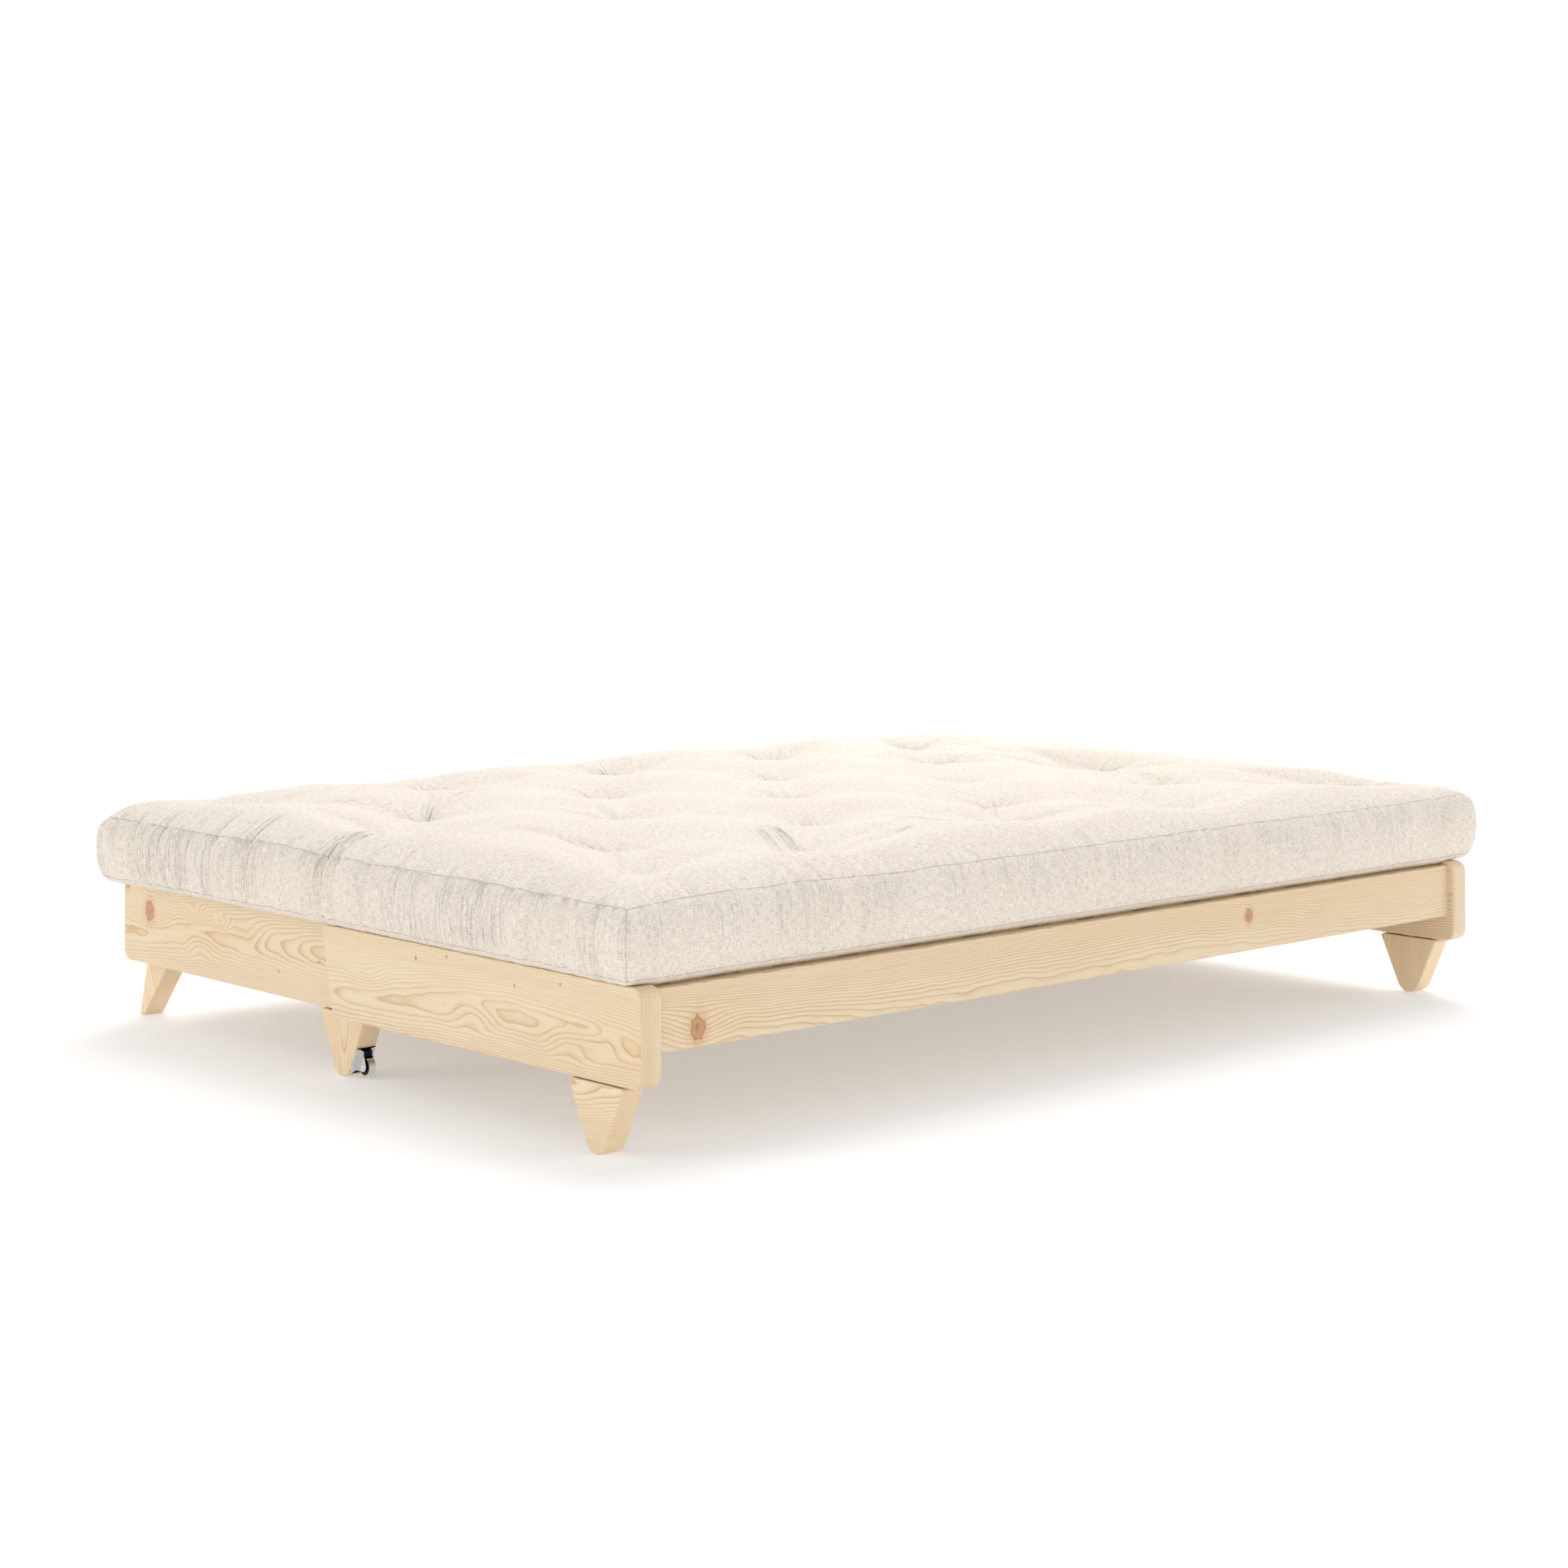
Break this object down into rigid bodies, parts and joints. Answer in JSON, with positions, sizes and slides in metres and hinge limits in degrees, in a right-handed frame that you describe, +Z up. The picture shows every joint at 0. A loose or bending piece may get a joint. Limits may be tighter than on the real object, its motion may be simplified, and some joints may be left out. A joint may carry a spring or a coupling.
{
  "type": "futon sofa bed",
  "caption": "Low pine sofa bed opened flat: a slatted seat frame and a slatted back frame hinged together under a tufted linen futon.",
  "frame": {"origin": "on the floor, under the middle of the opened bed", "axes": "+X along the bed's long side, to the right seen from the seat's front; -Y is the seat's front, +Y the back frame; +Z up"},
  "size_m": [2.04, 1.498, 0.394],
  "materials": {
    "pine_board": "clear satin lacquer",
    "pine_leg": "clear satin lacquer",
    "pine_slat": "planed, unlacquered",
    "linen": "natural linen and cotton weave",
    "zinc_steel": "zinc plated",
    "chrome_plate": "polished",
    "castor_wheel": "polished tread, black sides"
  },
  "bodies": {
    "seat_frame": {"seat_side_left": "pine_board", "seat_leg_left": "pine_leg", "seat_leg_stud_left": "zinc_steel", "pivot_bolt_left": "zinc_steel", "pivot_washer_left": "zinc_steel", "seat_side_right": "pine_board", "seat_leg_right": "pine_leg", "seat_leg_stud_right": "zinc_steel", "pivot_bolt_right": "zinc_steel", "pivot_washer_right": "zinc_steel", "seat_front_rail": "pine_board", "seat_rear_rail": "pine_board", "seat_slat_01": "pine_slat", "seat_slat_02": "pine_slat", "seat_slat_03": "pine_slat", "seat_slat_04": "pine_slat", "seat_slat_05": "pine_slat", "seat_slat_06": "pine_slat", "seat_slat_07": "pine_slat", "seat_slat_08": "pine_slat", "seat_slat_09": "pine_slat", "seat_slat_10": "pine_slat", "seat_slat_11": "pine_slat", "seat_slat_12": "pine_slat", "seat_slat_13": "pine_slat", "seat_slat_14": "pine_slat", "futon_seat": "linen", "futon_fold": "linen"},
    "back_frame": {"back_side_left": "pine_board", "middle_leg_left": "pine_leg", "rear_leg_left": "pine_leg", "middle_leg_stud_left": "zinc_steel", "castor_axle_left": "zinc_steel", "castor_bracket_left": "chrome_plate", "back_side_right": "pine_board", "middle_leg_right": "pine_leg", "rear_leg_right": "pine_leg", "middle_leg_stud_right": "zinc_steel", "castor_axle_right": "zinc_steel", "castor_bracket_right": "chrome_plate", "back_front_rail": "pine_board", "back_rear_rail": "pine_board", "back_slat_01": "pine_slat", "back_slat_02": "pine_slat", "back_slat_03": "pine_slat", "back_slat_04": "pine_slat", "back_slat_05": "pine_slat", "back_slat_06": "pine_slat", "back_slat_07": "pine_slat", "back_slat_08": "pine_slat", "back_slat_09": "pine_slat", "back_slat_10": "pine_slat", "back_slat_11": "pine_slat", "back_slat_12": "pine_slat", "back_slat_13": "pine_slat", "back_slat_14": "pine_slat", "futon_back": "linen"},
    "castor_wheel_left": {"castor_wheel_left": "castor_wheel"},
    "castor_wheel_right": {"castor_wheel_right": "castor_wheel"}
  },
  "joints": [
    {"name": "back_hinge", "type": "hinge", "parent": "seat_frame", "child": "back_frame", "pos_m": [0, -0.004, 0.15], "axis": [1, 0, 0], "range_deg": [0, 75], "deforming": ["futon_fold"]},
    {"name": "castor_spin_left", "type": "hinge", "parent": "back_frame", "child": "castor_wheel_left", "pos_m": [-0.9299, 0.01146, 0.02046], "axis": [1, 0, 0], "continuous": true},
    {"name": "castor_spin_right", "type": "hinge", "parent": "back_frame", "child": "castor_wheel_right", "pos_m": [0.9299, 0.01146, 0.02046], "axis": [1, 0, 0], "continuous": true}
  ]
}
